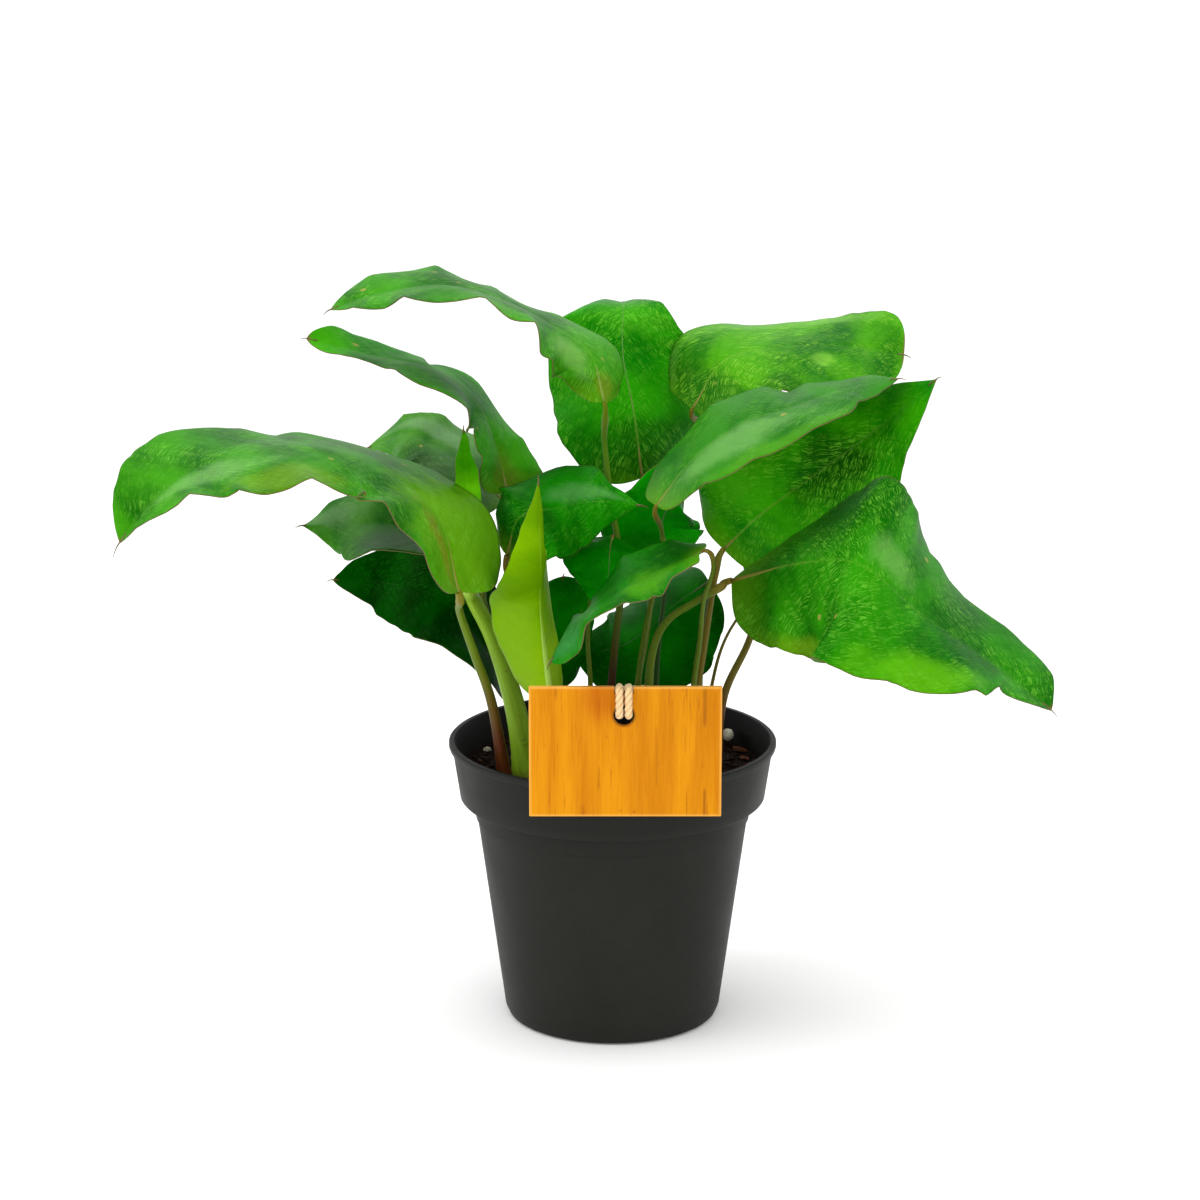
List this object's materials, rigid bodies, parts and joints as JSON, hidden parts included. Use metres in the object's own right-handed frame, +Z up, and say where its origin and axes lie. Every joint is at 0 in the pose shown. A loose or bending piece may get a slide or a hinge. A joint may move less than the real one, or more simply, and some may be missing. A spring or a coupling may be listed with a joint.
{
  "type": "potted calathea musaica",
  "caption": "Free-standing prayer plant with mosaic-patterned arching leaves, growing from soil in a round tapered nursery pot, with a blank care tag looped to its stems.",
  "frame": {"origin": "centre of the flat underside of the pot, on the ground", "axes": "+Z up the plant, -Y to the front where the tag hangs, +X to the right seen from the front"},
  "size_m": [0.3232, 0.1693, 0.2765],
  "materials": {
    "pot": "matt dark grey moulded plastic",
    "soil": "dark brown crumbly potting soil of peat and bark",
    "feed_bead": "pale beige bead",
    "care_tag": "warm orange bamboo veneer with a fine upright grain",
    "tag_loop": "pale twisted cotton cord",
    "leaf": "waxy green with a fine mosaic of pale dashes",
    "shaded_leaf": "waxy dark green with a fine mosaic of pale dashes",
    "young_leaf": "smooth yellow-green, still rolled",
    "stem": "smooth olive, reddish brown near the soil"
  },
  "bodies": {
    "root": {"pot": "pot", "soil": "soil", "feed_bead": "feed_bead", "care_tag": "care_tag", "tag_loop": "tag_loop", "leaf_far_left": "leaf", "leaf_upper_left": "leaf", "leaf_top_left": "leaf", "leaf_top_middle": "leaf", "leaf_top_right": "leaf", "leaf_right_arching": "leaf", "leaf_right_inner": "leaf", "leaf_right_large": "leaf", "leaf_centre_left": "leaf", "leaf_centre_low": "leaf", "leaf_left_back": "leaf", "leaf_left_middle": "leaf", "leaf_left_low": "shaded_leaf", "leaf_centre_dark": "shaded_leaf", "leaf_centre_hanging": "shaded_leaf", "leaf_behind_roll": "shaded_leaf", "leaf_low_behind_stems": "shaded_leaf", "leaf_right_back": "leaf", "leaf_folded_young": "leaf", "leaf_rolled_new": "young_leaf", "stem_far_left": "stem", "stem_upper_left": "stem", "stem_top_left": "stem", "stem_top_middle": "stem", "stem_top_right": "stem", "stem_right_arching": "stem", "stem_right_inner": "stem", "stem_right_large": "stem", "stem_centre_left": "stem", "stem_centre_low": "stem", "stem_left_back": "stem", "stem_left_middle": "stem", "stem_left_low": "stem", "stem_centre_dark": "stem", "stem_centre_hanging": "stem", "stem_behind_roll": "stem", "stem_low_behind_stems": "stem", "stem_right_back": "stem", "stem_folded_young": "stem", "stem_rolled_new": "stem"}
  },
  "joints": []
}
